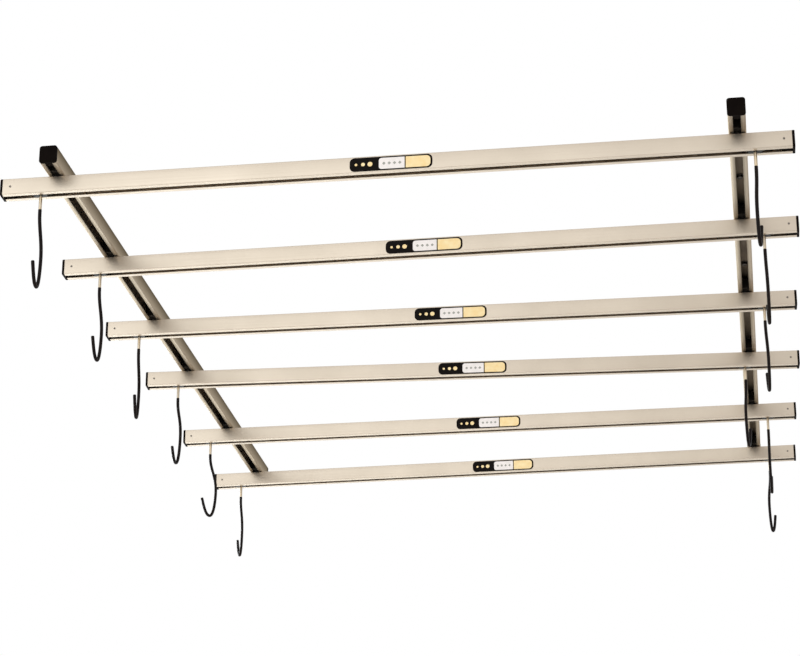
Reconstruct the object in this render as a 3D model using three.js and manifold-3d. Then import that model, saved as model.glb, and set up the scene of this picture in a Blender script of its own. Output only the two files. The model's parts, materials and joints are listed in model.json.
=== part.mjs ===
// Ceiling bike rack: two slotted rails fixed under a ceiling carry six slotted crossbars on glide
// blocks. Each crossbar slides along the rails, and two swivelling hooks slide along each crossbar.
// Millimetres. X runs along the crossbars, Y along the rails, Z is up. The origin is on the ceiling,
// midway between the rails and halfway along them.

import * as THREE from 'three';
import { mergeVertices } from 'three/addons/utils/BufferGeometryUtils.js';
import Module from 'manifold-3d';

const wasm = await Module();
wasm.setup();

// Clearances
const seatGap = 0.3;          // a piece and the face that carries it
const runningGap = 0.5;       // a sliding piece and the walls beside it
const stopGap = 1;            // a glide block and the cap that it stops at
const cutOverrun = 2;         // how far a cutter reaches past what it cuts

// Rails
const railSpacing = 1219;     // centre line to centre line
const railLength = 1829;
const rail = { width: 31, height: 33, wall: 2.4, slot: 13.5, radius: 3.2, fillet: 1.2 };
const lagHoleDiameter = 8;
const lagHolePitch = 406.4;   // ceiling joists
const lagHolesPerRail = 4;

// Crossbars
const barOverhang = 95.9;     // rail's centre line to the end of a crossbar's channel
const bar = { width: 31, height: 31, wall: 2.2, slot: 12, radius: 1.6, fillet: 1.4 };
const barDrop = 1.6;          // rail underside to crossbar top
const pinHoleDiameter = 3.2;
const pinHoleInset = 14;      // channel's end to the cap screw
const studSlotLength = 28;
const barPlaceShares = [0.0104, 0.2241, 0.4232, 0.6137, 0.8186, 0.9984]; // of the glide blocks' way
const barShiftShares = [-0.11, 0.14, 0, 0.22, -0.07, -0.11];          // of the stud slot's length
const barSkews = [0.7, 0.4, 1.8, 3.4, 1, -0.3];                       // degrees

// End caps
const cap = { overhang: 0.7, plate: 4.5, radius: 3.6, plugDepth: 18, plugWall: 2.2, pilotDiameter: 2.4 };

// Glide blocks, which run in the rails and hang the crossbars
const glide = { length: 56, height: 19.5, neckLength: 26, bevel: 1.5 };
const stud = { diameter: 8, nutFlats: 13, nutHeight: 6, tail: 1.5 };

// Sliders, which run in the crossbars and carry the hooks
const slider = { length: 30, height: 8, neckLength: 24, bevel: 1.5 };

// Hooks
const rod = { bareDiameter: 5.8, coatedDiameter: 6.5, headDiameter: 13, headHeight: 4, headEdge: 1 };
const hookDrop = 180;         // crossbar underside to the bottom of the hook
const bareLength = 27;        // crossbar underside to the start of the coating
const shankLength = 31;       // crossbar underside to the start of the bow
const bowOffset = 15.2;       // shank's centre line to the back of the hook
const tipOffset = 16.4;       // shank's centre line to the tip, on the other side
const tipHeight = 46.7;       // bottom of the hook to the top of the tip
const coatShoulder = 1;
const bend = {               // where the curves of the bow, the back and the tip lead
  bowFallShare: 0.6, bowLeaveShare: 0.23, bowReachShare: 0.275, backLeaveShare: 0.12,
  backTurnShare: 0.83, lowestShare: 0.18, tipTurnShare: 0.36, tipLeanShare: 0.7, tipRiseShare: 0.52,
};
const leftHookShares = [-0.904, -0.903, -0.91, -0.907, -0.918, -0.916]; // of half the bar
const rightHookShares = [0.909, 0.914, 0.914, 0.842, 0.915, 0.917];
const leftSwivels = [82, 75, 90, 317, 12, 302];                         // degrees, bow's direction
const rightSwivels = [259, 274, 278, 256, 266, 246];

// Facets
const arcSteps = 2;
const holeSides = 8;
const studSides = 8;
const rodSides = 8;
const bowSteps = 5;
const backSteps = 6;
const tipSteps = 5;

// Lengths that follow
const barLength = railSpacing + barOverhang * 2;
const glideTravel = railLength - (cap.plugDepth + stopGap) * 2 - glide.length;

// Levels, from the ceiling down
const railBottom = -rail.height;
const railLipTop = railBottom + rail.wall;
const barTop = railBottom - barDrop;
const barWebBottom = barTop - bar.wall;
const barBottom = barTop - bar.height;
const barLipTop = barBottom + bar.wall;
const sliderTop = barLipTop + seatGap + slider.height;

// Finishes
const aluminium = () => new THREE.MeshStandardMaterial({ color: 0xc9c0b0, roughness: 0.38, metalness: 1 });
const capPlastic = () => new THREE.MeshStandardMaterial({ color: 0x14110f, roughness: 0.55, metalness: 0 });
const nylon = () => new THREE.MeshStandardMaterial({ color: 0x1d1b19, roughness: 0.6, metalness: 0 });
const vinyl = () => new THREE.MeshStandardMaterial({ color: 0x15110f, roughness: 0.45, metalness: 0 });

// Solids

function toSolid(geometry) {
  const plain = geometry.clone();
  plain.deleteAttribute('normal');
  plain.deleteAttribute('uv');
  const merged = mergeVertices(plain);
  return new wasm.Manifold(new wasm.Mesh({
    numProp: 3,
    vertProperties: merged.attributes.position.array,
    triVerts: Uint32Array.from(merged.index.array),
  }));
}

function toGeometry(solid) {
  const mesh = solid.getMesh();
  const geometry = new THREE.BufferGeometry();
  geometry.setAttribute('position', new THREE.BufferAttribute(mesh.vertProperties, 3));
  geometry.setIndex(new THREE.BufferAttribute(mesh.triVerts, 1));
  geometry.computeVertexNormals();
  return geometry;
}

function join(geometries) {
  return geometries.map(toSolid).reduce((whole, piece) => whole.add(piece));
}

function cut(solid, cutters) {
  return cutters.map(toSolid).reduce((rest, cutter) => rest.subtract(cutter), solid);
}

// Outlines

function roundedRect(width, height, radius) {
  const x = width / 2;
  const y = height / 2;
  const outline = new THREE.Shape();
  outline.moveTo(radius - x, -y);
  outline.absarc(x - radius, radius - y, radius, -Math.PI / 2, 0);
  outline.absarc(x - radius, y - radius, radius, 0, Math.PI / 2);
  outline.absarc(radius - x, y - radius, radius, Math.PI / 2, Math.PI);
  outline.absarc(radius - x, radius - y, radius, Math.PI, 1.5 * Math.PI);
  return outline;
}

// A channel's section with its slot at the bottom: the outline goes round the outside from one
// lip to the other and comes back round the inside. Zero height is the underside.
function channelOutline({ width, height, wall, slot, radius, fillet }) {
  const x = width / 2;
  const innerX = x - wall;
  const innerTop = height - wall;
  const outline = new THREE.Shape();
  outline.moveTo(slot / 2, 0);
  outline.absarc(x - radius, radius, radius, -Math.PI / 2, 0);
  outline.absarc(x - radius, height - radius, radius, 0, Math.PI / 2);
  outline.absarc(radius - x, height - radius, radius, Math.PI / 2, Math.PI);
  outline.absarc(radius - x, radius, radius, Math.PI, 1.5 * Math.PI);
  outline.lineTo(-slot / 2, 0);
  outline.lineTo(-slot / 2, wall);
  outline.absarc(fillet - innerX, wall + fillet, fillet, 1.5 * Math.PI, Math.PI, true);
  outline.absarc(fillet - innerX, innerTop - fillet, fillet, Math.PI, Math.PI / 2, true);
  outline.absarc(innerX - fillet, innerTop - fillet, fillet, Math.PI / 2, 0, true);
  outline.absarc(innerX - fillet, wall + fillet, fillet, 0, -Math.PI / 2, true);
  outline.lineTo(slot / 2, wall);
  return outline;
}

// Extrusions: the outline's height becomes Z, and its centre line lies on the origin

function alongY(outline, length) {
  const geometry = new THREE.ExtrudeGeometry(outline, { depth: length, bevelEnabled: false, curveSegments: arcSteps });
  return geometry.translate(0, 0, -length / 2).rotateX(Math.PI / 2);
}

function alongX(outline, length) {
  return alongY(outline, length).rotateZ(Math.PI / 2);
}

function upright(outline, bottom, top) {
  const depth = top - bottom;
  return new THREE.ExtrudeGeometry(outline, { depth, bevelEnabled: false, curveSegments: arcSteps })
    .translate(0, 0, bottom);
}

function verticalCylinder(diameter, bottom, top, sides) {
  return new THREE.CylinderGeometry(diameter / 2, diameter / 2, top - bottom, sides)
    .rotateX(Math.PI / 2)
    .translate(0, 0, (top + bottom) / 2);
}

// A block with bevelled long edges, cut to length along Y
function bevelledBlock(width, length, bottom, top, bevel) {
  const x = width / 2;
  const outline = new THREE.Shape([
    new THREE.Vector2(bevel - x, bottom), new THREE.Vector2(x - bevel, bottom),
    new THREE.Vector2(x, bottom + bevel), new THREE.Vector2(x, top - bevel),
    new THREE.Vector2(x - bevel, top), new THREE.Vector2(bevel - x, top),
    new THREE.Vector2(-x, top - bevel), new THREE.Vector2(-x, bottom + bevel),
  ]);
  return alongY(outline, length);
}

// Rails and crossbars

function railGeometry() {
  const lagHole = (index) => verticalCylinder(lagHoleDiameter, -rail.wall - cutOverrun, cutOverrun, holeSides)
    .translate(0, (index - (lagHolesPerRail - 1) / 2) * lagHolePitch, 0);
  const holes = Array.from({ length: lagHolesPerRail }, (_, index) => lagHole(index));
  const channel = toSolid(alongY(channelOutline(rail), railLength).translate(0, 0, railBottom));
  return toGeometry(cut(channel, holes));
}

function barGeometry() {
  const studWidth = stud.diameter + runningGap + runningGap;
  const studSlot = (side) => upright(
    roundedRect(studSlotLength, studWidth, studWidth / 2), barWebBottom - cutOverrun, barTop + cutOverrun,
  ).translate(side * railSpacing / 2, 0, 0);
  const pinHole = (side) => new THREE.CylinderGeometry(
    pinHoleDiameter / 2, pinHoleDiameter / 2, bar.wall + cutOverrun + cutOverrun, holeSides,
  ).translate(side * (barLength / 2 - pinHoleInset), (bar.wall - bar.width) / 2, (barTop + barBottom) / 2);
  const channel = toSolid(alongX(channelOutline(bar), barLength).translate(0, 0, barBottom));
  return toGeometry(cut(channel, [-1, 1].flatMap((side) => [studSlot(side), pinHole(side)])));
}

// End caps: a plate over the channel's end and a hollow plug inside it. The channel's end face is
// at zero and the plug points along +Y. A rail's cap stays level with the ceiling at its top.

function capGeometry(channel, topOverhang, screwHole) {
  const inset = channel.wall + seatGap;
  const plugWidth = channel.width - inset * 2;
  const plugHeight = channel.height - inset * 2;
  const plateHeight = channel.height + cap.overhang + topOverhang;
  const plate = alongY(roundedRect(channel.width + cap.overhang * 2, plateHeight, cap.radius), cap.plate)
    .translate(0, -cap.plate / 2 - seatGap, (topOverhang - cap.overhang) / 2);
  const plugLength = cap.plugDepth + seatGap + cap.plate / 2;
  const plug = alongY(roundedRect(plugWidth, plugHeight, channel.fillet + seatGap), plugLength)
    .translate(0, cap.plugDepth - plugLength / 2, 0);
  const pocketLength = cap.plugDepth + cutOverrun;
  const pocket = new THREE.BoxGeometry(plugWidth - cap.plugWall * 2, pocketLength, plugHeight - cap.plugWall * 2)
    .translate(0, pocketLength / 2, 0);
  const cutters = [pocket];
  if (screwHole) {
    const pilotLength = cap.plugWall * 2 + cutOverrun;
    cutters.push(new THREE.CylinderGeometry(cap.pilotDiameter / 2, cap.pilotDiameter / 2, pilotLength, holeSides)
      .rotateZ(Math.PI / 2)
      .translate(-plugWidth / 2, pinHoleInset, 0));
  }
  return toGeometry(cut(join([plate, plug]), cutters));
}

// Glide blocks: block and neck in the rail, moulded stud and nut in the crossbar

function hexagon(flats) {
  const corner = flats / Math.sqrt(3);
  const points = Array.from({ length: 6 }, (_, index) => {
    const angle = index * Math.PI / 3;
    return new THREE.Vector2(corner * Math.cos(angle), corner * Math.sin(angle));
  });
  return new THREE.Shape(points);
}

function glideGeometry() {
  const blockWidth = rail.width - rail.wall * 2 - runningGap * 2;
  const neckWidth = rail.slot - runningGap * 2;
  const blockBottom = railLipTop + seatGap;
  const nutTop = barWebBottom - seatGap;
  const nutBottom = nutTop - stud.nutHeight;
  return toGeometry(join([
    bevelledBlock(blockWidth, glide.length, blockBottom, blockBottom + glide.height, glide.bevel),
    upright(roundedRect(neckWidth, glide.neckLength, glide.bevel), barTop + seatGap, blockBottom + glide.bevel),
    verticalCylinder(stud.diameter, nutBottom - stud.tail, blockBottom + glide.bevel, studSides),
    upright(hexagon(stud.nutFlats), nutBottom, nutTop),
  ]));
}

// Sliders: block on the crossbar's lips, neck in its slot, bore for the hook's shank

function sliderGeometry() {
  const blockWidth = bar.width - bar.wall * 2 - runningGap * 2;
  const neckWidth = bar.slot - runningGap * 2;
  const blockBottom = barLipTop + seatGap;
  const body = join([
    bevelledBlock(blockWidth, slider.length, blockBottom, sliderTop, slider.bevel).rotateZ(Math.PI / 2),
    upright(roundedRect(slider.neckLength, neckWidth, slider.bevel), barBottom, blockBottom + slider.bevel),
  ]);
  const bore = verticalCylinder(rod.bareDiameter + seatGap * 2, barBottom - cutOverrun, sliderTop + cutOverrun, holeSides);
  return toGeometry(cut(body, [bore]));
}

// Hooks. The rod lies in the local XZ plane. Its stations go from the head down the shank, out
// into the bow, round the bottom and up to the tip, and each has a centre, a direction and a radius.

function straightStation(level, radius) {
  return { centre: new THREE.Vector2(0, level), direction: new THREE.Vector2(0, -1), radius };
}

function curveStations(curve, steps, radius) {
  return Array.from({ length: steps }, (_, index) => {
    const t = (index + 1) / steps;
    return { centre: curve.getPoint(t), direction: curve.getTangent(t), radius };
  });
}

function hookStations() {
  const bare = rod.bareDiameter / 2;
  const coated = rod.coatedDiameter / 2;
  const head = rod.headDiameter / 2;
  const headBottom = sliderTop + seatGap;
  const headTop = headBottom + rod.headHeight;
  const coatTop = barBottom - bareLength;
  const bowTop = barBottom - shankLength;
  const bottom = barBottom - hookDrop + coated;
  const tipTop = barBottom - hookDrop + tipHeight;
  const fall = bowTop - bottom;

  const bowStart = new THREE.Vector2(0, bowTop);
  const bowEnd = new THREE.Vector2(bowOffset, bowTop - fall * bend.bowFallShare);
  const lowest = new THREE.Vector2(bowOffset * bend.lowestShare, bottom);
  const tipEnd = new THREE.Vector2(-tipOffset, tipTop);
  const bow = new THREE.CubicBezierCurve(
    bowStart,
    new THREE.Vector2(0, bowTop - fall * bend.bowLeaveShare),
    new THREE.Vector2(bowOffset, bowEnd.y + fall * bend.bowReachShare),
    bowEnd,
  );
  const back = new THREE.CubicBezierCurve(
    bowEnd,
    new THREE.Vector2(bowOffset, bowEnd.y - fall * bend.backLeaveShare),
    new THREE.Vector2(bowOffset * bend.backTurnShare, bottom),
    lowest,
  );
  const tipSide = new THREE.CubicBezierCurve(
    lowest,
    new THREE.Vector2(-tipOffset * bend.tipTurnShare, bottom),
    new THREE.Vector2(-tipOffset * bend.tipLeanShare, bottom + (tipTop - bottom) * bend.tipRiseShare),
    tipEnd,
  );
  const stations = [
    straightStation(headTop, head - rod.headEdge),
    straightStation(headTop - rod.headEdge, head),
    straightStation(headBottom, head),
    straightStation(headBottom, bare),
    straightStation(coatTop, bare),
    straightStation(coatTop - coatShoulder / 2, coated),
    straightStation(bowTop, coated),
    ...curveStations(bow, bowSteps, coated),
    ...curveStations(back, backSteps, coated),
    ...curveStations(tipSide, tipSteps, coated),
  ];
  const last = stations[stations.length - 1];
  last.centre.addScaledVector(last.direction, -coatShoulder * 2);
  stations.push({
    centre: last.centre.clone().addScaledVector(last.direction, coatShoulder * 2),
    direction: last.direction,
    radius: coated - coatShoulder,
  });
  return stations;
}

// A closed skin of rings through the stations, with a flat fan at each end
function rodGeometry(stations) {
  const positions = [];
  const index = [];
  for (const { centre, direction, radius } of stations) {
    for (let side = 0; side < rodSides; side += 1) {
      const angle = side * 2 * Math.PI / rodSides;
      const across = radius * Math.cos(angle);
      positions.push(centre.x - direction.y * across, radius * Math.sin(angle), centre.y + direction.x * across);
    }
  }
  for (let ring = 0; ring + 1 < stations.length; ring += 1) {
    for (let side = 0; side < rodSides; side += 1) {
      const a = ring * rodSides + side;
      const b = ring * rodSides + (side + 1) % rodSides;
      index.push(a, a + rodSides, b, b, a + rodSides, b + rodSides);
    }
  }
  const endRing = (stations.length - 1) * rodSides;
  for (let side = 1; side + 1 < rodSides; side += 1) {
    index.push(0, side, side + 1);
    index.push(endRing, endRing + side + 1, endRing + side);
  }
  const geometry = new THREE.BufferGeometry();
  geometry.setAttribute('position', new THREE.BufferAttribute(new Float32Array(positions), 3));
  geometry.setIndex(index);
  geometry.computeVertexNormals();
  return geometry;
}

// Assembly

const rack = new THREE.Group();

function place(parent, name, geometry, material) {
  const mesh = new THREE.Mesh(geometry, material);
  mesh.name = name;
  parent.add(mesh);
  return mesh;
}

const sides = { left: -1, right: 1 };
const railBlank = railGeometry();
const barBlank = barGeometry();
const railCapBlank = capGeometry(rail, 0, false);
const barCapBlank = capGeometry(bar, cap.overhang, true);
const glideBlank = glideGeometry();
const sliderBlank = sliderGeometry();
const hookBlank = rodGeometry(hookStations());

for (const [side, sign] of Object.entries(sides)) {
  const railGroup = new THREE.Group();
  railGroup.position.x = sign * railSpacing / 2;
  rack.add(railGroup);
  place(railGroup, `${side}_rail`, railBlank, aluminium());
  for (const [end, direction] of [['near', -1], ['far', 1]]) {
    const endCap = place(railGroup, `${side}_rail_${end}_cap`, railCapBlank, capPlastic());
    endCap.position.set(0, direction * railLength / 2, railBottom + rail.height / 2);
    endCap.rotation.z = direction > 0 ? Math.PI : 0;
  }
}

barPlaceShares.forEach((share, index) => {
  const number = index + 1;
  const skew = THREE.MathUtils.degToRad(barSkews[index]);
  const shift = barShiftShares[index] * studSlotLength;
  const blockOffset = (sign) => (sign * railSpacing / 2 - shift) * Math.tan(skew);
  const farOffset = Math.max(Math.abs(blockOffset(sides.left)), Math.abs(blockOffset(sides.right)));
  const barY = (share - 0.5) * (glideTravel - farOffset * 2);
  const barGroup = new THREE.Group();
  barGroup.position.set(shift, barY, 0);
  barGroup.rotation.z = skew;
  rack.add(barGroup);
  place(barGroup, `crossbar_${number}`, barBlank, aluminium());

  const hookShares = { left: leftHookShares[index], right: rightHookShares[index] };
  const swivels = { left: leftSwivels[index], right: rightSwivels[index] };
  for (const [side, sign] of Object.entries(sides)) {
    const endCap = place(barGroup, `crossbar_${number}_${side}_cap`, barCapBlank, capPlastic());
    endCap.position.set(sign * barLength / 2, 0, barBottom + bar.height / 2);
    endCap.rotation.z = sign > 0 ? Math.PI / 2 : -Math.PI / 2;

    const block = place(rack, `glide_block_${number}_${side}`, glideBlank, nylon());
    block.position.set(sign * railSpacing / 2, barY + blockOffset(sign), 0);

    const carrier = new THREE.Group();
    carrier.position.x = hookShares[side] * barLength / 2;
    barGroup.add(carrier);
    place(carrier, `hook_slider_${number}_${side}`, sliderBlank, nylon());
    const hook = place(carrier, `hook_${number}_${side}`, hookBlank, vinyl());
    hook.rotation.z = THREE.MathUtils.degToRad(swivels[side]) - skew;
  }
});

export default rack;
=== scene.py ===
# Looks for the ceiling bike rack: finer skins for the rails, crossbars, caps and hooks of the packed
# CAD part, their fasteners and their plates. Metres, in the part's own frame.

import json
import math

import bmesh
import bpy
from mathutils import Matrix, Vector
from mathutils.geometry import interpolate_bezier


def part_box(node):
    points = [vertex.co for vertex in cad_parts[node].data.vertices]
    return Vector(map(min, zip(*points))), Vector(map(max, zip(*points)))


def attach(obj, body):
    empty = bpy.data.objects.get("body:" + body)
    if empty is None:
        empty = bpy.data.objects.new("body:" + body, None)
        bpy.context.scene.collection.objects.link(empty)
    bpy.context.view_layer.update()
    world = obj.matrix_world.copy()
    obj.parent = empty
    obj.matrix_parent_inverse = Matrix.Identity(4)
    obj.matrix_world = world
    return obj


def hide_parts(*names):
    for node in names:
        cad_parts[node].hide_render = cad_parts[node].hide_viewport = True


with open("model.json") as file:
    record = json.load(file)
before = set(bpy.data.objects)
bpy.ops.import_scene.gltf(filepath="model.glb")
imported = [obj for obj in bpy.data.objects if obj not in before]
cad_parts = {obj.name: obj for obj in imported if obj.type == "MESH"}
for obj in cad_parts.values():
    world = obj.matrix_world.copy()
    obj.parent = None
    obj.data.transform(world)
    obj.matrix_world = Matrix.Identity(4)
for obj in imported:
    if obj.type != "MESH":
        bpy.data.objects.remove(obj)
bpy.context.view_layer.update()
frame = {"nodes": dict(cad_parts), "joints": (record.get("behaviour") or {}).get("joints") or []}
print("loaded the frame:", len(frame["nodes"]), "nodes")

sides = ("left", "right")
barNumbers = range(1, 7)
skinInset = 0.00003  # keeps the looks inside the CAD box
hairline = 0.00001  # a margin for points and faces that would coincide
mergeDistance = 0.0000005


# Node trees

def addNode(tree, kind, settings=None, inputs=None):
    made = tree.nodes.new(kind)
    for name, value in (settings or {}).items():
        setattr(made, name, value)
    for name, value in (inputs or {}).items():
        if isinstance(value, bpy.types.NodeSocket):
            tree.links.new(value, made.inputs[name])
        else:
            made.inputs[name].default_value = value
    return made


def newMaterial(name):
    material = bpy.data.materials.new(name)
    material.use_nodes = True
    tree = material.node_tree
    tree.nodes.clear()
    shader = addNode(tree, "ShaderNodeBsdfPrincipled")
    addNode(tree, "ShaderNodeOutputMaterial", inputs={"Surface": shader.outputs["BSDF"]})
    return material, tree, shader


def objectPlace(tree):
    return addNode(tree, "ShaderNodeTexCoord").outputs["Object"]


def noise(tree, place, scale, detail=3.0):
    return addNode(tree, "ShaderNodeTexNoise", inputs={
        "Vector": place, "Scale": scale, "Detail": detail,
    }).outputs["Fac"]


def remap(tree, value, low, high, fromLow=0.3, fromHigh=0.7):
    # from the middle range of a noise, unless another range is given
    return addNode(tree, "ShaderNodeMapRange", inputs={
        "Value": value, "From Min": fromLow, "From Max": fromHigh, "To Min": low, "To Max": high,
    }).outputs["Result"]


def mathNode(tree, operation, *values):
    return addNode(tree, "ShaderNodeMath", {"operation": operation}, dict(enumerate(values))).outputs[0]


def blendNumbers(tree, share, first, second):
    return addNode(tree, "ShaderNodeMix", {"data_type": "FLOAT"}, {0: share, 2: first, 3: second}).outputs[0]


def blendColours(tree, share, first, second):
    made = addNode(tree, "ShaderNodeMix", {"data_type": "RGBA"}, {0: share})
    colourInputs = [socket for socket in made.inputs if socket.type == "RGBA"]
    for socket, value in zip(colourInputs, (first, second)):
        socket.default_value = (*value, 1)
    return next(socket for socket in made.outputs if socket.type == "RGBA")


def bump(tree, height, distance, normal=None):
    inputs = {"Height": height, "Distance": distance}
    if normal is not None:
        inputs["Normal"] = normal
    return addNode(tree, "ShaderNodeBump", inputs=inputs).outputs["Normal"]


# Finishes

aluminiumLook = {
    "base": (0.57, 0.49, 0.40), "worn": (0.52, 0.445, 0.36), "roughness": (0.36, 0.46),
    "grainAlong": 1.5,  # per metre along the extrusion
    "grainAcross": 900.0,  # per metre round the section
    "grainDepth": 0.000025, "cloudScale": 9.0,
}
railLook = {
    **aluminiumLook, "base": (0.60, 0.53, 0.435), "worn": (0.55, 0.48, 0.39),
    "edge": (0.52, 0.45, 0.36),  # the finish's tint at glancing angles
    # painted shade: the sides facing +X darken toward the ceiling, and the lips darken toward the slot
    "sideShades": (0.86, 0.15),  # from the underside up to the ceiling
    "sideFacing": (0.2, 0.8),  # how far a face turns toward +X before it darkens, and is fully dark
    "lipShades": (0.46, 0.92), "lipReach": (0.0068, 0.0125),  # from the slot outwards
    "lipDepth": 0.0012,
}
# painted shade: the rails' insides are coloured darker to stand for the shade in the channel
insideShadeLook = {
    "base": (0.24, 0.19, 0.14), "worn": (0.18, 0.14, 0.10), "roughness": (0.50, 0.62),
    "grainAlong": 1.5, "grainAcross": 700.0, "grainDepth": 0.00003, "cloudScale": 14.0,
}


def railShade(tree, look):
    # painted shade on the rails: the sides toward +X darken up to the ceiling, the lips toward the slot
    railLow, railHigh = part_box("right_rail")
    underside, depth = railLow.z, look["lipDepth"]
    spot = addNode(tree, "ShaderNodeTexCoord").outputs
    axes = addNode(tree, "ShaderNodeSeparateXYZ", inputs={"Vector": spot["Object"]}).outputs
    facing = addNode(tree, "ShaderNodeSeparateXYZ", inputs={"Vector": spot["Normal"]}).outputs
    paintedShadeShare = remap(tree, facing["X"], 0.0, 1.0, *look["sideFacing"])
    darkening = remap(tree, axes["Z"], *look["sideShades"], underside, railHigh.z)
    side = blendNumbers(tree, paintedShadeShare, look["sideShades"][0], darkening)
    across = mathNode(tree, "ABSOLUTE", axes["X"])
    offset = mathNode(tree, "SUBTRACT", across, (railLow.x + railHigh.x) / 2)
    lip = remap(tree, mathNode(tree, "ABSOLUTE", offset), *look["lipShades"], *look["lipReach"])
    onLip = remap(tree, axes["Z"], 1.0, 0.0, underside + depth / 3, underside + depth)
    return blendNumbers(tree, onLip, side, lip)


def extrudedAluminium(name, look):
    material, tree, shader = newMaterial(name)
    grainMap = addNode(tree, "ShaderNodeUVMap", {"uv_map": "grain"}).outputs["UV"]
    stretched = addNode(tree, "ShaderNodeMapping", inputs={
        "Vector": grainMap, "Scale": (look["grainAlong"], look["grainAcross"], 1.0),
    }).outputs["Vector"]
    grain = noise(tree, stretched, 1.0)
    cloud = noise(tree, objectPlace(tree), look["cloudScale"])
    colour = blendColours(tree, remap(tree, cloud, 0.0, 1.0), look["base"], look["worn"])
    if "sideShades" in look:
        colour = addNode(tree, "ShaderNodeVectorMath", {"operation": "SCALE"}, {
            "Vector": colour, "Scale": railShade(tree, look),
        }).outputs["Vector"]
    shader.inputs["Metallic"].default_value = 1.0
    shader.inputs["Specular Tint"].default_value = (*look.get("edge", (1.0, 1.0, 1.0)), 1)
    tree.links.new(colour, shader.inputs["Base Color"])
    tree.links.new(remap(tree, grain, *look["roughness"]), shader.inputs["Roughness"])
    tree.links.new(bump(tree, grain, look["grainDepth"]), shader.inputs["Normal"])
    return material


def moulded(name, look):
    material, tree, shader = newMaterial(name)
    place = objectPlace(tree)
    cloud = noise(tree, place, look["cloudScale"])
    pebble = noise(tree, place, look["pebbleScale"], detail=2.0)
    colour = blendColours(tree, remap(tree, cloud, 0.0, 1.0), look["base"], look["faded"])
    tree.links.new(colour, shader.inputs["Base Color"])
    tree.links.new(remap(tree, pebble, *look["roughness"]), shader.inputs["Roughness"])
    soft = bump(tree, cloud, look["cloudDepth"])
    tree.links.new(bump(tree, pebble, look["pebbleDepth"], normal=soft), shader.inputs["Normal"])
    shader.inputs["Metallic"].default_value = look.get("metallic", 0.0)
    shader.inputs["Specular IOR Level"].default_value = look.get("shine", 0.5)
    return material


capLook = {
    "base": (0.003, 0.0015, 0.001), "faded": (0.005, 0.003, 0.002), "roughness": (0.48, 0.62),
    "cloudScale": 60.0, "cloudDepth": 0.0001, "pebbleScale": 2200.0, "pebbleDepth": 0.00002,
    "shine": 0.03,
}
nylonLook = {
    "base": (0.006, 0.005, 0.004), "faded": (0.010, 0.008, 0.006), "roughness": (0.38, 0.5),
    "cloudScale": 40.0, "cloudDepth": 0.0001, "pebbleScale": 1500.0, "pebbleDepth": 0.00001,
    "shine": 0.2,
}
vinylLook = {
    "base": (0.004, 0.002, 0.002), "faded": (0.008, 0.004, 0.003), "roughness": (0.34, 0.46),
    "cloudScale": 45.0, "cloudDepth": 0.0002, "pebbleScale": 700.0, "pebbleDepth": 0.00001,
    "shine": 0.10,
}
zincLook = {
    "base": (0.62, 0.49, 0.33), "faded": (0.56, 0.49, 0.39), "roughness": (0.30, 0.42),
    "cloudScale": 70.0, "cloudDepth": 0.00005, "pebbleScale": 900.0, "pebbleDepth": 0.00001,
    "metallic": 1.0,
}
lagLook = {
    "base": (0.17, 0.15, 0.13), "faded": (0.12, 0.11, 0.10), "roughness": (0.42, 0.54),
    "cloudScale": 120.0, "cloudDepth": 0.00005, "pebbleScale": 1200.0, "pebbleDepth": 0.00001,
    "metallic": 1.0,
}
screwLook = {
    "base": (0.16, 0.14, 0.12), "faded": (0.22, 0.19, 0.17), "roughness": (0.40, 0.50),
    "cloudScale": 300.0, "cloudDepth": 0.00002, "pebbleScale": 3000.0, "pebbleDepth": 0.00001,
    "metallic": 0.6,
}
inkLook = {
    "roughness": (0.30, 0.40), "cloudScale": 90.0, "cloudDepth": 0.00003,
    "pebbleScale": 2500.0, "pebbleDepth": 0.000005, "shine": 0.05,
}
inkColours = {  # base and faded
    "black": ((0.003, 0.0015, 0.001), (0.005, 0.003, 0.002)),
    "amber": ((0.95, 0.70, 0.34), (0.98, 0.80, 0.47)),
    "white": ((0.93, 0.87, 0.85), (0.86, 0.81, 0.78)),
    "grey": ((0.36, 0.36, 0.32), (0.42, 0.41, 0.38)),
}

aluminium = extrudedAluminium("extruded_aluminium", aluminiumLook)
# the rails' aluminium carries painted shade on its +X sides and its lips
shadedRailAluminium = extrudedAluminium("rail_aluminium_finish", railLook)
# the rails' insides, darkened as painted shade
insideShadedAluminium = extrudedAluminium("dull_aluminium", insideShadeLook)  # the rails' insides
capPlastic = moulded("cap_plastic", capLook)
nylon = moulded("black_nylon", nylonLook)
vinyl = moulded("dipped_vinyl", vinylLook)
yellowZinc = moulded("yellow_zinc", zincLook)
lagSteel = moulded("bright_zinc", lagLook)
blackSteel = moulded("black_steel", screwLook)
inks = {name: moulded(name + "_ink", {**inkLook, "base": base, "faded": faded})
        for name, (base, faded) in inkColours.items()}
print("finishes made")


# Meshes

def roundedOutline(corners, steps):
    # corners go round the outline as (x, y, radius); turns either way are rounded
    points = []
    count = len(corners)
    for index, (x, y, radius) in enumerate(corners):
        corner = Vector((x, y))
        before = (Vector(corners[index - 1][:2]) - corner).normalized()
        after = (Vector(corners[(index + 1) % count][:2]) - corner).normalized()
        half = before.angle(after) / 2
        run = radius / math.tan(half)
        centre = corner + (before + after).normalized() * (radius / math.sin(half))
        first = corner + before * run - centre
        turn = first.angle_signed(corner + after * run - centre)
        for step in range(steps + 1):
            points.append(centre + Matrix.Rotation(-turn * step / steps, 2) @ first)
    return points


def rectangleCorners(width, height, radius, centreY=0.0, centreX=0.0):
    x, y = width / 2, height / 2
    return [(centreX + x, centreY - y, radius), (centreX + x, centreY + y, radius),
            (centreX - x, centreY + y, radius), (centreX - x, centreY - y, radius)]


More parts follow.
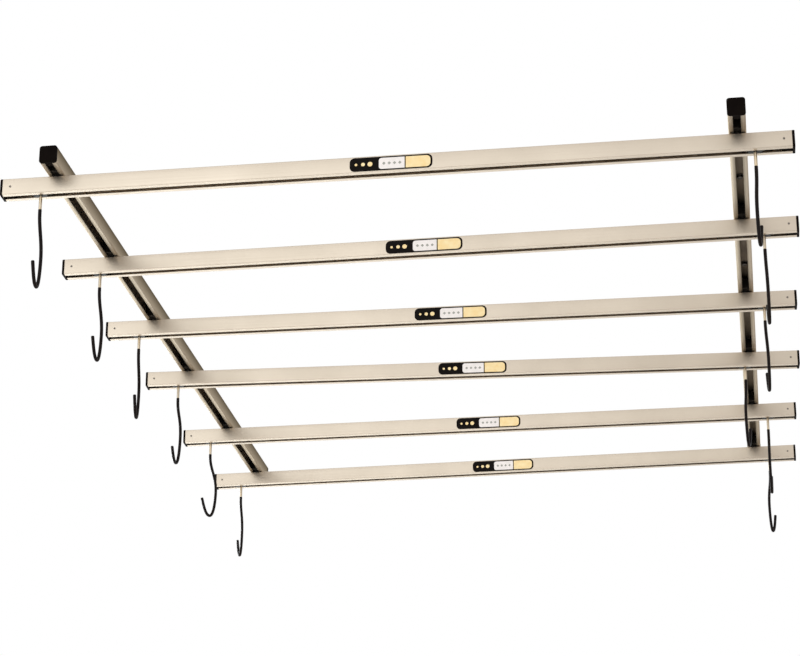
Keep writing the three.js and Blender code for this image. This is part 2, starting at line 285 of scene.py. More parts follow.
def channelCorners(section):
    # an upright channel with its slot in the middle of the underside
    x, wall, slot = section["width"] / 2, section["wall"], section["slot"] / 2
    height, radius, fillet, lip = section["height"], section["radius"], section["fillet"], section["lip"]
    return [
        (slot, 0.0, lip), (x, 0.0, radius), (x, height, radius), (-x, height, radius), (-x, 0.0, radius),
        (-slot, 0.0, lip), (-slot, wall, lip), (wall - x, wall, fillet), (wall - x, height - wall, fillet),
        (x - wall, height - wall, fillet), (x - wall, wall, fillet), (slot, wall, lip),
    ]


def ringAt(level, radius, count, corners=0):
    # a round ring of points or, with corners given, a polygon whose flats lie at the radius
    points = []
    for index in range(count):
        angle = index * 2 * math.pi / count
        reach = radius
        if corners:
            sector = math.pi / corners
            reach /= math.cos(angle % (2 * sector) - sector)
        points.append(Vector((reach * math.cos(angle), reach * math.sin(angle), level)))
    return points


def alongX(outline, stations):
    return [[Vector((x, point.x, point.y)) for point in outline] for x in stations]


def alongZ(outline, levels):
    return [[Vector((point.x, point.y, level)) for point in outline] for level in levels]


def meshFromRings(name, rings):
    # rings of points of equal count, joined one to the next; the "grain" map runs along and round
    shape = bmesh.new()
    grain = shape.loops.layers.uv.new("grain")
    made = [[shape.verts.new(point) for point in ring] for ring in rings]
    count = len(rings[0])
    around = [0.0]
    for index in range(count):
        edge = Vector(rings[0][(index + 1) % count]) - Vector(rings[0][index])
        around.append(around[-1] + edge.length)
    along = [0.0]
    for ring, following in zip(rings, rings[1:]):
        along.append(along[-1] + (Vector(following[0]) - Vector(ring[0])).length)
    for row in range(len(rings) - 1):
        for index in range(count):
            places = ((row, index), (row, index + 1), (row + 1, index + 1), (row + 1, index))
            face = shape.faces.new([made[line][spot % count] for line, spot in places])
            face.smooth = True
            for loop, (line, spot) in zip(face.loops, places):
                loop[grain].uv = (along[line], around[spot])
    for end in (made[0], made[-1]):
        for loop in shape.faces.new(end).loops:
            loop[grain].uv = (loop.vert.co.y, loop.vert.co.z)
    bmesh.ops.remove_doubles(shape, verts=shape.verts, dist=mergeDistance)
    bmesh.ops.recalc_face_normals(shape, faces=shape.faces)
    mesh = bpy.data.meshes.new(name)
    shape.to_mesh(mesh)
    shape.free()
    return mesh


def cylinderMesh(radius, low, high, sideCount, matrix):
    mesh = meshFromRings("cylinder", [ringAt(level, radius, sideCount) for level in (low, high)])
    mesh.transform(matrix)
    return mesh


def showMesh(name, mesh, material=None):
    piece = bpy.data.objects.new(name, mesh)
    bpy.context.scene.collection.objects.link(piece)
    if material is not None:
        mesh.materials.clear()
        mesh.materials.append(material)
    return piece


def placedCopy(mesh, name, matrix):
    copy = mesh.copy()
    copy.name = name
    copy.transform(matrix)
    return copy


def sharpen(mesh, degrees=30.0):
    mesh.shade_smooth()
    mesh.set_sharp_from_angle(angle=math.radians(degrees))
    return mesh


def bakedMesh(piece, name):
    evaluated = piece.evaluated_get(bpy.context.evaluated_depsgraph_get())
    mesh = bpy.data.meshes.new_from_object(evaluated)
    mesh.name = name
    return mesh


def discard(*pieces):
    for piece in pieces:
        bpy.data.objects.remove(piece)


def cutMesh(mesh, cutters):
    body = showMesh("cut_body", mesh)
    tools = [showMesh("cutter", cutter) for cutter in cutters]
    for tool in tools:
        modifier = body.modifiers.new("cut", "BOOLEAN")
        modifier.operation = "DIFFERENCE"
        modifier.solver = "EXACT"
        modifier.object = tool
    result = bakedMesh(body, mesh.name)
    discard(body, *tools)
    return result


# Places read from the frame

jointAxes = {joint["name"]: Vector(joint["axis"]) for joint in frame["joints"]}


def boxCentre(node):
    low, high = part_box(node)
    return (low + high) / 2


def barMatrix(number):
    # to the middle of the crossbar's underside, turned by its skew
    axis = jointAxes[f"hook_slider_{number}_left_slide"]
    skew = math.atan2(axis.y, axis.x)
    centre = boxCentre(f"crossbar_{number}")
    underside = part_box(f"crossbar_{number}")[0].z
    return Matrix.Translation((centre.x, centre.y, underside)) @ Matrix.Rotation(skew, 4, "Z")


def hookMatrix(number, side):
    centre = boxCentre(f"hook_slider_{number}_{side}")
    node = frame["nodes"][f"hook_{number}_{side}"]
    flat = [Vector((v.co.x - centre.x, v.co.y - centre.y)) for v in node.data.vertices]
    tip = max(flat, key=lambda place: place.length)  # the tip reaches farthest from the shank
    turn = Matrix.Rotation(math.atan2(-tip.y, -tip.x), 4, "Z")
    return Matrix.Translation((centre.x, centre.y, 0)) @ turn


# Rails and crossbars

railSection = {
    "width": 0.031, "height": 0.033, "wall": 0.0024, "slot": 0.0135,
    "radius": 0.0032, "fillet": 0.0012, "lip": 0.0005,
}
barSection = {
    "width": 0.031, "height": 0.031, "wall": 0.0022, "slot": 0.012,
    "radius": 0.0016, "fillet": 0.0014, "lip": 0.0005, "length": 1.4108,
}
holes = {
    "lag": 0.008, "lagPitch": 0.4064, "lagCount": 4, "lagSides": 32,
    "stud": 0.009, "studLength": 0.028, "studSteps": 8, "railSpacing": 1.219,
    "pin": 0.0032, "pinInset": 0.014, "pinSides": 24,
    "cutReach": 0.005, "pinReach": 0.004,  # how far a cutter stands out to both sides of its face
}
arcSteps = 6


def lagPlaces():
    middle = (holes["lagCount"] - 1) / 2
    return [(index - middle) * holes["lagPitch"] for index in range(holes["lagCount"])]


def channelMesh(name, section, length):
    outline = roundedOutline(channelCorners(section), arcSteps)
    return meshFromRings(name, alongX(outline, (-length / 2, length / 2)))


def splitInside(mesh, section):
    # the rail's inner walls take the second material, darkened as painted shade; the rail still lies along X
    # here
    mesh.materials.clear()
    mesh.materials.append(shadedRailAluminium)
    mesh.materials.append(insideShadedAluminium)
    reach = section["width"] / 2 - section["wall"] + hairline
    low, high = section["wall"] - hairline, section["height"] - section["wall"] + hairline
    for face in mesh.polygons:
        _, y, z = face.center
        face.material_index = int(abs(y) < reach and low < z < high)


def railMesh():
    railLow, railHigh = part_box("left_rail")
    mesh = channelMesh("rail", railSection, railHigh.y - railLow.y - 2 * skinInset)
    low, high = railSection["height"] - holes["cutReach"], railSection["height"] + holes["cutReach"]
    cutters = [
        cylinderMesh(holes["lag"] / 2, low, high, holes["lagSides"], Matrix.Translation((place, 0, 0)))
        for place in lagPlaces()
    ]
    mesh = cutMesh(mesh, cutters)
    splitInside(mesh, railSection)
    mesh.transform(Matrix.Rotation(math.pi / 2, 4, "Z"))
    return sharpen(mesh)


def barMesh():
    length, top, reach = barSection["length"], barSection["height"], holes["pinReach"]
    stud = rectangleCorners(holes["studLength"], holes["stud"], holes["stud"] / 2 - hairline)
    studOutline = roundedOutline(stud, holes["studSteps"])
    cutters = []
    for sign in (-1, 1):
        levels = (top - holes["cutReach"], top + holes["cutReach"])
        studSlot = meshFromRings("stud_slot", alongZ(studOutline, levels))
        studSlot.transform(Matrix.Translation((sign * holes["railSpacing"] / 2, 0, 0)))
        pinPlace = (sign * (length / 2 - holes["pinInset"]), -barSection["width"] / 2, top / 2)
        toFace = Matrix.Translation(pinPlace) @ Matrix.Rotation(math.pi / 2, 4, "X")
        cutters += [studSlot, cylinderMesh(holes["pin"] / 2, -reach, reach, holes["pinSides"], toFace)]
    return sharpen(cutMesh(channelMesh("crossbar", barSection, length), cutters))


railTemplate = railMesh()
for side in sides:
    centre = boxCentre(f"{side}_rail")
    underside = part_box(f"{side}_rail")[0].z
    name = f"rail_skin_{side}"
    place = Matrix.Translation((centre.x, centre.y, underside - skinInset))
    piece = showMesh(name, placedCopy(railTemplate, name, place))
    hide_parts(f"{side}_rail")
    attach(piece, "frame")

barTemplate = barMesh()
for number in barNumbers:
    name = f"crossbar_skin_{number}"
    piece = showMesh(name, placedCopy(barTemplate, name, barMatrix(number)), aluminium)
    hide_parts(f"crossbar_{number}")
    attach(piece, f"crossbar_{number}")
print("rails and crossbars made")


# End caps

capSizes = {
    "overhang": 0.0007, "plate": 0.0045, "radius": 0.0036, "railRadius": 0.005, "leastRadius": 0.0002,
    "edge": 0.0009, "edgeSteps": 4, "seat": 0.0003, "plugDepth": 0.018, "plugWall": 0.0022,
    "sharpAngle": 35.0,
}


def capMesh(size, section, topOverhang, plateRadius):
    # the channel's end face is at zero, the plug points along +X and zero height is the underside
    over, seat, edge = size["overhang"] - skinInset, size["seat"], size["edge"]
    top = section["height"] + topOverhang - skinInset
    outer = -seat - size["plate"] + skinInset

    def ring(x, width, height, radius, centre):
        corners = rectangleCorners(width, height, max(radius, size["leastRadius"]), centre)
        return alongX(roundedOutline(corners, arcSteps), [x])[0]

    def plateRing(x, inset):
        width, height = section["width"] + 2 * (over - inset), top + over - 2 * inset
        return ring(x, width, height, plateRadius - inset, (top - over) / 2)

    def plugRing(x, inset):
        inside = section["wall"] + seat + inset
        width, height = section["width"] - 2 * inside, section["height"] - 2 * inside
        return ring(x, width, height, section["fillet"] + seat - inset, section["height"] / 2)

    turns = [step / size["edgeSteps"] * math.pi / 2 for step in range(size["edgeSteps"] + 1)]
    rings = [plateRing(outer + (1 - math.cos(turn)) * edge, (1 - math.sin(turn)) * edge) for turn in turns]
    rings += [plateRing(-seat - edge / 4, 0), plateRing(-seat, edge / 4)]
    depth, wall = size["plugDepth"], size["plugWall"]
    rings += [plugRing(-seat, 0), plugRing(depth - edge / 2, 0), plugRing(depth, edge / 2)]
    rings += [plugRing(depth, wall - edge / 4), plugRing(depth - edge / 2, wall), plugRing(0, wall)]
    return sharpen(meshFromRings("cap", rings), size["sharpAngle"])


railCap = capMesh(capSizes, railSection, 0, capSizes["railRadius"])
barCap = capMesh(capSizes, barSection, capSizes["overhang"], capSizes["radius"])
for side in sides:
    railLow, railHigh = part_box(f"{side}_rail")
    centre = boxCentre(f"{side}_rail")
    for end, endY, angle in (("near", railLow.y, math.pi / 2), ("far", railHigh.y, -math.pi / 2)):
        name = f"rail_cap_{side}_{end}"
        place = Matrix.Translation((centre.x, endY, railLow.z)) @ Matrix.Rotation(angle, 4, "Z")
        piece = showMesh(name, placedCopy(railCap, name, place), capPlastic)
        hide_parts(f"{side}_rail_{end}_cap")
        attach(piece, "frame")
for number in barNumbers:
    for side, sign, angle in (("left", -1, 0), ("right", 1, math.pi)):
        name = f"crossbar_cap_{number}_{side}"
        toEnd = Matrix.Translation((sign * barSection["length"] / 2, 0, 0)) @ Matrix.Rotation(angle, 4, "Z")
        piece = showMesh(name, placedCopy(barCap, name, barMatrix(number) @ toEnd), capPlastic)
        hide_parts(f"crossbar_{number}_{side}_cap")
        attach(piece, f"crossbar_{number}")
print("end caps made")


# Hooks: a curve swept by Geometry Nodes, once for the steel rod and once for its coating

hookSizes = {
    "barBottom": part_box("crossbar_1")[0].z,
    "headTop": -0.0508, "headHeight": 0.004, "headRadius": 0.0065, "headEdge": 0.001,
    "headEdgeShare": 0.3,  # where the head's edge is broken between top and side
    "headFillet": 0.0004,
    "bareRadius": 0.0029, "bareLength": 0.027, "rodRun": 0.004,  # the rod runs on inside the coating
    "coatRadius": 0.00325, "shankLength": 0.031, "drop": 0.180,
    # the coating's upper edge: the drop below its start and the share of its thickness there
    "coatLip": ((0.0, 0.143), (0.0002, 0.55), (0.0006, 0.9), (0.0012, 1.0)),
    "bowOffset": 0.0152, "tipOffset": 0.0164, "tipHeight": 0.0467,
    # the curve's handles, as shares of the fall below the shank
    "bowFall": 0.6, "bowLeave": 0.23, "bowReach": 0.275, "backLeave": 0.12,
    # and as shares of the bow's and the tip's offsets, the last one of the tip's rise
    "backTurn": 0.83, "lowest": 0.18, "tipTurn": 0.36, "tipLean": 0.7, "tipRise": 0.52,
    "blunt": 0.0018, "bluntSteps": 5, "bluntShare": 0.995,
    "curvePoints": 28, "rodSides": 28, "sharpAngle": 32.0,
}


def hookPath(size):
    bowTop = size["barBottom"] - size["shankLength"]
    bottom = size["barBottom"] - size["drop"] + size["coatRadius"] + skinInset
    tipTop = size["barBottom"] - size["drop"] + size["tipHeight"]
    fall = bowTop - bottom
    bow, tip = size["bowOffset"], size["tipOffset"]
    bowLow = bowTop - fall * size["bowFall"]
    lowest = bow * size["lowest"]
    tipLow = bottom + (tipTop - bottom) * size["tipRise"]
    curves = [
        ((0, bowTop), (0, bowTop - fall * size["bowLeave"]), (bow, bowLow + fall * size["bowReach"]),
         (bow, bowLow)),
        ((bow, bowLow), (bow, bowLow - fall * size["backLeave"]), (bow * size["backTurn"], bottom),
         (lowest, bottom)),
        ((lowest, bottom), (-tip * size["tipTurn"], bottom), (-tip * size["tipLean"], tipLow),
         (-tip, tipTop)),
    ]
    places = [Vector((0, 0, size["barBottom"] - size["bareLength"])), Vector((0, 0, bowTop))]
    for curve in curves:
        corners = [Vector((x, 0, z)) for x, z in curve]
        places.extend(interpolate_bezier(*corners, size["curvePoints"])[1:])
    return places


def roundedTip(places, size):
    # the last stretch of the path, with its radius falling off over the blunt end
    radius, blunt, steps = size["coatRadius"], size["blunt"], size["bluntSteps"]
    last, before = places[-1], places[-2]
    direction = (last - before).normalized()
    stations = [(place, radius) for place in places if (place - last).length > blunt]
    for step in range(1, steps + 1):
        angle = step / steps * math.pi / 2
        stations.append((last - direction * blunt * (1 - math.sin(angle)),
                         radius - blunt * (1 - math.cos(angle)) * size["bluntShare"]))
    return stations


def rodStations(size):
    head, bare, edge = size["headRadius"], size["bareRadius"], size["headEdge"]
    top, chamfer, fillet = size["headTop"], edge * size["headEdgeShare"], size["headFillet"]
    low = top - size["headHeight"]
    levels = [
        (top, head - edge), (top - chamfer, head - chamfer), (top - edge, head), (low, head),
        (low - hairline, bare + fillet), (low - fillet, bare),
        (size["barBottom"] - size["bareLength"] - size["rodRun"], bare),
    ]
    return [(Vector((0, 0, level)), radius) for level, radius in levels]


def coatStations(size):
    places = hookPath(size)
    bare, thickness = size["bareRadius"], size["coatRadius"] - size["bareRadius"]
    lip = [(places[0] - Vector((0, 0, drop)), bare + thickness * share) for drop, share in size["coatLip"]]
    return lip + roundedTip(places, size)[1:]


def sweepTree():
    tree = bpy.data.node_groups.new("swept_rod", "GeometryNodeTree")
    tree.interface.new_socket("Path", in_out="INPUT", socket_type="NodeSocketGeometry")
    sidesSocket = tree.interface.new_socket("Sides", in_out="INPUT", socket_type="NodeSocketInt")
    materialSocket = tree.interface.new_socket("Material", in_out="INPUT", socket_type="NodeSocketMaterial")
    tree.interface.new_socket("Geometry", in_out="OUTPUT", socket_type="NodeSocketGeometry")
    given = addNode(tree, "NodeGroupInput").outputs
    radius = addNode(tree, "GeometryNodeInputNamedAttribute", {"data_type": "FLOAT"}, {"Name": "rod_radius"})
    curve = addNode(tree, "GeometryNodeMeshToCurve", inputs={"Mesh": given["Path"]})
    circle = addNode(tree, "GeometryNodeCurvePrimitiveCircle", inputs={
        "Resolution": given["Sides"], "Radius": 1.0,
    })
    swept = addNode(tree, "GeometryNodeCurveToMesh", inputs={
        "Curve": curve.outputs["Curve"], "Profile Curve": circle.outputs["Curve"],
        "Scale": radius.outputs["Attribute"], "Fill Caps": True,
    })
    realized = addNode(tree, "GeometryNodeRealizeInstances", inputs={"Geometry": swept.outputs["Mesh"]})
    painted = addNode(tree, "GeometryNodeSetMaterial", inputs={
        "Geometry": realized.outputs["Geometry"], "Material": given["Material"],
    })
    addNode(tree, "NodeGroupOutput", inputs={"Geometry": painted.outputs["Geometry"]})
    return tree, {"sides": sidesSocket.identifier, "material": materialSocket.identifier}


rodTree, rodInputs = sweepTree()


def sweptMesh(name, stations, material, size):
    path = bpy.data.meshes.new(name + "_path")
    edges = [(index, index + 1) for index in range(len(stations) - 1)]
    path.from_pydata([place for place, _ in stations], edges, [])
    radii = path.attributes.new("rod_radius", "FLOAT", "POINT")
    radii.data.foreach_set("value", [radius for _, radius in stations])
    carrier = showMesh(name + "_carrier", path)
    modifier = carrier.modifiers.new("sweep", "NODES")
    modifier.node_group = rodTree
    modifier[rodInputs["sides"]] = size["rodSides"]
    modifier[rodInputs["material"]] = material
    mesh = bakedMesh(carrier, name)
    discard(carrier)
    return sharpen(mesh, size["sharpAngle"])


rodTemplate = sweptMesh("hook_rod", rodStations(hookSizes), yellowZinc, hookSizes)
coatTemplate = sweptMesh("hook_coat", coatStations(hookSizes), vinyl, hookSizes)
for number in barNumbers:
    for side in sides:
        matrix = hookMatrix(number, side)
        for template, kind, finish in ((rodTemplate, "rod", yellowZinc), (coatTemplate, "coat", vinyl)):
            name = f"hook_{kind}_{number}_{side}"
            piece = showMesh(name, placedCopy(template, name, matrix), finish)
            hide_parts(f"hook_{number}_{side}")
            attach(piece, f"hook_{number}_{side}")
print("hooks made")


# Plates: a generic printed plate on each crossbar's front face

plateSizes = {
    "length": 0.148, "height": 0.0268, "endArc": 0.0092, "endSteps": 10, "fieldSteps": 8,
    "thickness": 0.00025, "print": 0.00004,
    "centres": (0.0040, 0.0026, 0.0103, 0.0082, 0.0086, 0.0077),  # past the middle of each crossbar
    "below": 0.0002,  # from the middle of the crossbar's height
    "margin": 0.0036, "rim": 0.0026, "gap": 0.002, "corner": 0.0004,
    "amberLength": 0.044, "amberArcShare": 0.8, "whiteLength": 0.046, "whiteArc": 0.005,
    "diamonds": 4, "diamondStart": 0.083, "diamondPitch": 0.0095, "diamondReach": 0.0032,
    "diamondCorner": 0.0003,
    "dotRadii": (0.0024, 0.0034, 0.0044), "dotStart": 0.0115, "dotPitch": 0.0125, "dotRoundShare": 0.98,
}


def flatPiece(shape, outline, low, high, slotIndex):
    rings = [[shape.verts.new((point.x, -level, point.y)) for point in outline] for level in (low, high)]
    count = len(outline)
    faces = [shape.faces.new((rings[0][i], rings[0][(i + 1) % count], rings[1][(i + 1) % count], rings[1][i]))
             for i in range(count)]
    faces += [shape.faces.new(rings[0]), shape.faces.new(rings[1])]
    for face in faces:
        face.material_index = slotIndex


def plateMesh(size):
    shape = bmesh.new()
    inkNames = list(inks)
    half = size["height"] / 2 - size["rim"]

    def field(corners, inkName, level=0):
        base = size["thickness"] + level * size["print"]
        outline = roundedOutline(corners, size["fieldSteps"])
        flatPiece(shape, outline, base, base + size["print"], inkNames.index(inkName))

    def band(right, left, rightArc, leftArc, inkName):
        field([(right, -half, rightArc), (right, half, rightArc),
               (left, half, leftArc), (left, -half, leftArc)], inkName)

    plate = rectangleCorners(size["length"], size["height"], size["endArc"])
    flatPiece(shape, roundedOutline(plate, size["endSteps"]), 0, size["thickness"], inkNames.index("black"))
    right = size["length"] / 2 - size["margin"]
    amberLeft = right - size["amberLength"]
    whiteRight = amberLeft - size["gap"]
    band(right, amberLeft, size["endArc"] * size["amberArcShare"], size["corner"], "amber")
    band(whiteRight, whiteRight - size["whiteLength"], size["corner"], size["whiteArc"], "white")
    reach, corner = size["diamondReach"], size["diamondCorner"]
    for index in range(size["diamonds"]):
        x = right - size["diamondStart"] + index * size["diamondPitch"]
        field([(x, -reach, corner), (x + reach, 0, corner), (x, reach, corner), (x - reach, 0, corner)],
              "grey", level=1)
    for index, radius in enumerate(size["dotRadii"]):
        x = -size["length"] / 2 + size["dotStart"] + index * size["dotPitch"]
        dot = rectangleCorners(radius * 2, radius * 2, radius * size["dotRoundShare"], centreX=x)
        field(dot, "amber")
    bmesh.ops.recalc_face_normals(shape, faces=shape.faces)
    mesh = bpy.data.meshes.new("plate")
    shape.to_mesh(mesh)
    shape.free()
    for name in inkNames:
        mesh.materials.append(inks[name])
    return mesh


plateTemplate = plateMesh(plateSizes)
for number in barNumbers:
    name = f"printed_plate_{number}"
    onFace = Matrix.Translation((
        plateSizes["centres"][number - 1],
        -barSection["width"] / 2 - hairline,
        barSection["height"] / 2 - plateSizes["below"],
    ))
    piece = showMesh(name, placedCopy(plateTemplate, name, barMatrix(number) @ onFace))
    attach(piece, f"crossbar_{number}")
print("plates made")


# Screws: one template each, set on points by Geometry Nodes

hexagon = 6  # corners of the cap screws' sockets and of the lag screws' heads
screwSizes = {
    "headRadius": 0.0021, "headHeight": 0.0009, "shank": 0.0014, "shankLength": 0.006,
    "socketReach": 0.0011, "socketDepth": 0.0006,  # the reach is from the axis to a corner
    "socketFloor": 0.95,  # share of that reach at the socket's floor
    "domeSteps": 4, "domeTurn": 0.8,  # the dome's arc, as a share of a quarter turn
    "domeFlat": 0.45, "domeRim": 0.25,  # shares of the head's radius and height outside that arc
    "points": 24, "seatGap": 0.00002, "sharpAngle": 35.0,
}
lagSizes = {
    "shank": 0.0035, "stub": 0.0022, "flange": 0.0085, "flangeHeight": 0.0012, "flangeRim": 0.6,
    "acrossFlats": 0.0105, "height": 0.0055, "chamfer": 0.0005, "dishDepth": 0.0004,
    "fillet": 1.18, "crown": 0.93, "dish": 0.55, "dishFloor": 0.5,  # shares of the flats' reach
    "points": 36, "seatGap": 0.00002, "sharpAngle": 25.0,
}


def capScrewMesh(size):
    # the head's seat is at zero, the head rises along +Z and its hexagonal socket sinks into it
    count, top = size["points"], size["headHeight"]
    head, shank = size["headRadius"], size["shank"]
    arc = math.pi / 2 * size["domeTurn"]
    flats = size["socketReach"] * math.cos(math.pi / hexagon)
    rings = [ringAt(-size["shankLength"], shank, count), ringAt(0, shank, count), ringAt(0, head, count)]
    for step in range(size["domeSteps"] + 1):
        angle = step / size["domeSteps"] * arc
        rise = math.sin(angle) / math.sin(arc)
        rings.append(ringAt(top * (size["domeRim"] + (1 - size["domeRim"]) * rise),
                            head * (size["domeFlat"] + (1 - size["domeFlat"]) * math.cos(angle)), count))
    rings += [ringAt(top, flats, count, hexagon),
              ringAt(top - size["socketDepth"], flats * size["socketFloor"], count, hexagon)]
    return sharpen(meshFromRings("cap_screw", rings), size["sharpAngle"])


def lagScrewMesh(size):
    # the web's inside face is at zero, the head hangs below it and the stub rises into the hole
    shank, flange, flats = size["shank"], size["flange"], size["acrossFlats"] / 2
    underFlange, bottom = -size["flangeHeight"], -size["height"]
    profile = [
        (size["stub"], shank, 0), (0, shank, 0), (-size["seatGap"], flange, 0),
        (underFlange * size["flangeRim"], flange, 0), (underFlange, flats * size["fillet"], 0),
        (underFlange, flats, hexagon), (bottom + size["chamfer"], flats, hexagon),
        (bottom, flats * size["crown"], 0), (bottom, flats * size["dish"], 0),
        (bottom + size["dishDepth"], flats * size["dishFloor"], 0),
    ]
    rings = [ringAt(level, radius, size["points"], corners) for level, radius, corners in profile]
    return sharpen(meshFromRings("lag_screw", rings), size["sharpAngle"])


def scatterTree():
    tree = bpy.data.node_groups.new("screws_on_points", "GeometryNodeTree")
    tree.interface.new_socket("Points", in_out="INPUT", socket_type="NodeSocketGeometry")
    screwSocket = tree.interface.new_socket("Screw", in_out="INPUT", socket_type="NodeSocketObject")
    turnSocket = tree.interface.new_socket("Turn", in_out="INPUT", socket_type="NodeSocketFloat")
    seedSocket = tree.interface.new_socket("Seed", in_out="INPUT", socket_type="NodeSocketInt")
    materialSocket = tree.interface.new_socket("Material", in_out="INPUT", socket_type="NodeSocketMaterial")
    tree.interface.new_socket("Geometry", in_out="OUTPUT", socket_type="NodeSocketGeometry")
    given = addNode(tree, "NodeGroupInput").outputs
    screw = addNode(tree, "GeometryNodeObjectInfo", inputs={"Object": given["Screw"]})
    spin = addNode(tree, "FunctionNodeRandomValue", {"data_type": "FLOAT"})
    largest = next(s for s in spin.inputs if s.name == "Max" and s.type == "VALUE" and s.enabled)
    tree.links.new(given["Turn"], largest)
    tree.links.new(given["Seed"], spin.inputs["Seed"])
    spun = next(s for s in spin.outputs if s.enabled)
    angles = addNode(tree, "ShaderNodeCombineXYZ", inputs={"Z": spun})
    placed = addNode(tree, "GeometryNodeInstanceOnPoints", inputs={
        "Points": given["Points"], "Instance": screw.outputs["Geometry"],
        "Rotation": angles.outputs["Vector"],
    })
    realized = addNode(tree, "GeometryNodeRealizeInstances", inputs={"Geometry": placed.outputs["Instances"]})
    painted = addNode(tree, "GeometryNodeSetMaterial", inputs={
        "Geometry": realized.outputs["Geometry"], "Material": given["Material"],
    })
    addNode(tree, "NodeGroupOutput", inputs={"Geometry": painted.outputs["Geometry"]})
    names = {"screw": screwSocket, "turn": turnSocket, "seed": seedSocket, "material": materialSocket}
    return tree, {name: socket.identifier for name, socket in names.items()}


screwTree, screwInputs = scatterTree()


def screwsOnPoints(name, template, points, material, matrix, seed):
    cloud = bpy.data.meshes.new(name + "_points")
    cloud.from_pydata(points, [], [])
    carrier = showMesh(name + "_carrier", cloud)
    source = showMesh(name + "_source", template)
    modifier = carrier.modifiers.new("screws", "NODES")
    modifier.node_group = screwTree
    modifier[screwInputs["screw"]] = source
    modifier[screwInputs["turn"]] = 2 * math.pi / hexagon  # past this turn a hexagon repeats
    modifier[screwInputs["seed"]] = seed
    modifier[screwInputs["material"]] = material
    mesh = bakedMesh(carrier, name)
    discard(carrier, source)
    mesh.transform(matrix)
    return showMesh(name, sharpen(mesh), material)


capScrew = capScrewMesh(screwSizes)
screwPlace = barSection["length"] / 2 - holes["pinInset"]
frontFace = (0, -barSection["width"] / 2 - screwSizes["seatGap"], barSection["height"] / 2)
onFront = Matrix.Translation(frontFace) @ Matrix.Rotation(math.pi / 2, 4, "X")
for number in barNumbers:
    piece = screwsOnPoints(f"cap_screws_{number}", capScrew, [(-screwPlace, 0, 0), (screwPlace, 0, 0)],
                           blackSteel, barMatrix(number) @ onFront, seed=number)
    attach(piece, f"crossbar_{number}")

lagScrew = lagScrewMesh(lagSizes)
for side, seed in zip(sides, (20, 21)):
    centre = boxCentre(f"{side}_rail")
    underWeb = Matrix.Translation((centre.x, centre.y, -railSection["wall"] - lagSizes["seatGap"]))
    piece = screwsOnPoints(f"lag_screws_{side}", lagScrew, [(0, place, 0) for place in lagPlaces()],
                           lagSteel, underWeb, seed)
    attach(piece, "frame")
print("screws made")


# Running gear keeps its CAD shape and gets its finish

for number in barNumbers:
    for side in sides:
        for node in (f"glide_block_{number}_{side}", f"hook_slider_{number}_{side}"):
            piece = frame["nodes"][node]
            piece.data.materials.clear()
            piece.data.materials.append(nylon)
print("running gear painted")


# Floor, light and camera

stageLook = {
    "floorLevel": -2.45, "floorSize": 30.0, "floorColour": (0.86, 0.85, 0.84),
    "floorFaded": (0.83, 0.82, 0.81), "floorCloud": 1.5, "floorRoughness": 0.8,
    "softboxes": (  # place, what it points at, side and power of each
        ((-4.0, 5.5, 1.2), (-4.0, 5.5, -2.4), 3.0, 600.0),
        ((-2.2, -1.0, -2.0), (-2.2, -1.0, -2.4), 5.0, 85.0),
        ((-2.6, -9.0, 2.0), (0.0, 0.0, 0.0), 5.6, 140.0),
    ),
    "softboxTint": (0.90, 0.97, 1.0), "ambient": 0.82, "ambientTint": (1.0, 0.985, 0.965),
}


def makeFloor(look):
    bpy.ops.mesh.primitive_plane_add(size=look["floorSize"], location=(0, 0, look["floorLevel"]))
    floor = bpy.context.active_object
    floor.name = "floor"
    material, tree, shader = newMaterial("pale_floor")
    cloud = noise(tree, objectPlace(tree), look["floorCloud"])
    colour = blendColours(tree, remap(tree, cloud, 0.0, 1.0), look["floorColour"], look["floorFaded"])
    tree.links.new(colour, shader.inputs["Base Color"])
    shader.inputs["Roughness"].default_value = look["floorRoughness"]
    floor.data.materials.append(material)


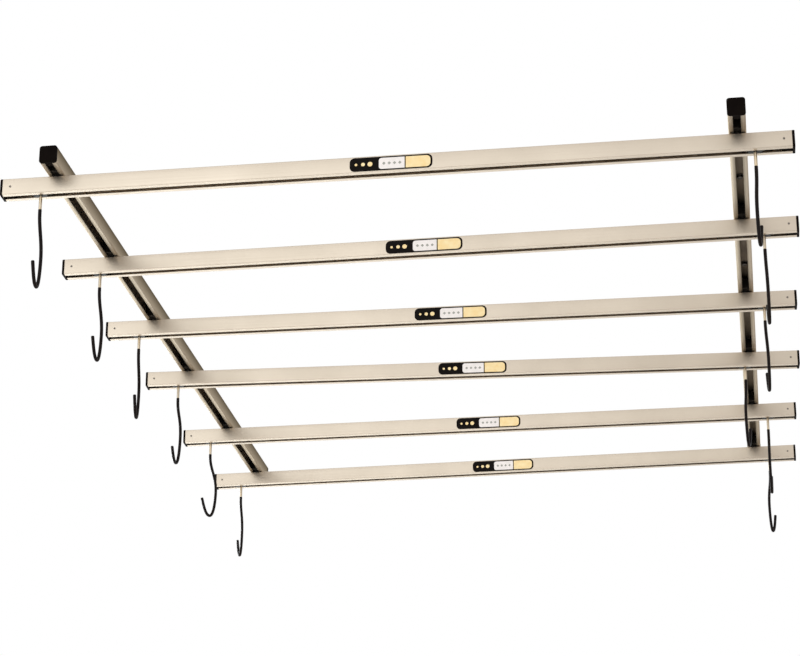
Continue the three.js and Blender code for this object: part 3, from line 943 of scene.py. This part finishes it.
def makeLights(look):
    for index, (place, target, size, power) in enumerate(look["softboxes"]):
        data = bpy.data.lights.new(f"softbox_{index}", "AREA")
        data.shape = "SQUARE"
        data.size = size
        data.energy = power
        data.color = look["softboxTint"]
        softbox = bpy.data.objects.new(f"softbox_{index}", data)
        softbox.location = place
        softbox.rotation_euler = (Vector(target) - Vector(place)).to_track_quat("-Z", "Y").to_euler()
        bpy.context.scene.collection.objects.link(softbox)


def makeWorld(look):
    # the camera and the metal see an even white backdrop, and the rest gets a soft ambient light
    world = bpy.data.worlds.new("studio")
    bpy.context.scene.world = world
    world.use_nodes = True
    tree = world.node_tree
    tree.nodes.clear()
    studio = addNode(tree, "ShaderNodeBackground", inputs={
        "Color": (*look["ambientTint"], 1), "Strength": look["ambient"],
    })
    backdrop = addNode(tree, "ShaderNodeBackground", inputs={"Color": (1, 1, 1, 1), "Strength": 1.0})
    rays = addNode(tree, "ShaderNodeLightPath").outputs
    seen = rays["Is Camera Ray"]
    for kind in ("Is Glossy Ray", "Is Transmission Ray"):
        seen = mathNode(tree, "MAXIMUM", seen, rays[kind])
    mixed = addNode(tree, "ShaderNodeMixShader", inputs={
        0: seen, 1: studio.outputs["Background"], 2: backdrop.outputs["Background"],
    })
    addNode(tree, "ShaderNodeOutputWorld", inputs={"Surface": mixed.outputs["Shader"]})


cameraView = {
    "place": (0.6000, -4.5809, -1.8756), "yaw": -8.795, "pitch": 21.780,
    "lens": 106.37, "sensor": 36, "shift": (-0.0046, 0.0027), "farthest": 100,
}


def makeCamera(look):
    yaw, pitch = math.radians(look["yaw"]), math.radians(look["pitch"])
    forward = Vector((math.sin(yaw) * math.cos(pitch), math.cos(yaw) * math.cos(pitch), math.sin(pitch)))
    right = Vector((math.cos(yaw), -math.sin(yaw), 0))
    up = right.cross(forward)
    data = bpy.data.cameras.new("camera")
    data.sensor_width = look["sensor"]
    data.lens = look["lens"]
    data.shift_x, data.shift_y = look["shift"]
    data.clip_end = look["farthest"]
    camera = bpy.data.objects.new("camera", data)
    bpy.context.scene.collection.objects.link(camera)
    turned = Matrix((right, up, -forward)).transposed()
    camera.matrix_world = Matrix.Translation(look["place"]) @ turned.to_4x4()
    bpy.context.scene.camera = camera


makeFloor(stageLook)
makeLights(stageLook)
makeWorld(stageLook)
makeCamera(cameraView)
bpy.context.scene.view_settings.view_transform = "Standard"
print("stage made")
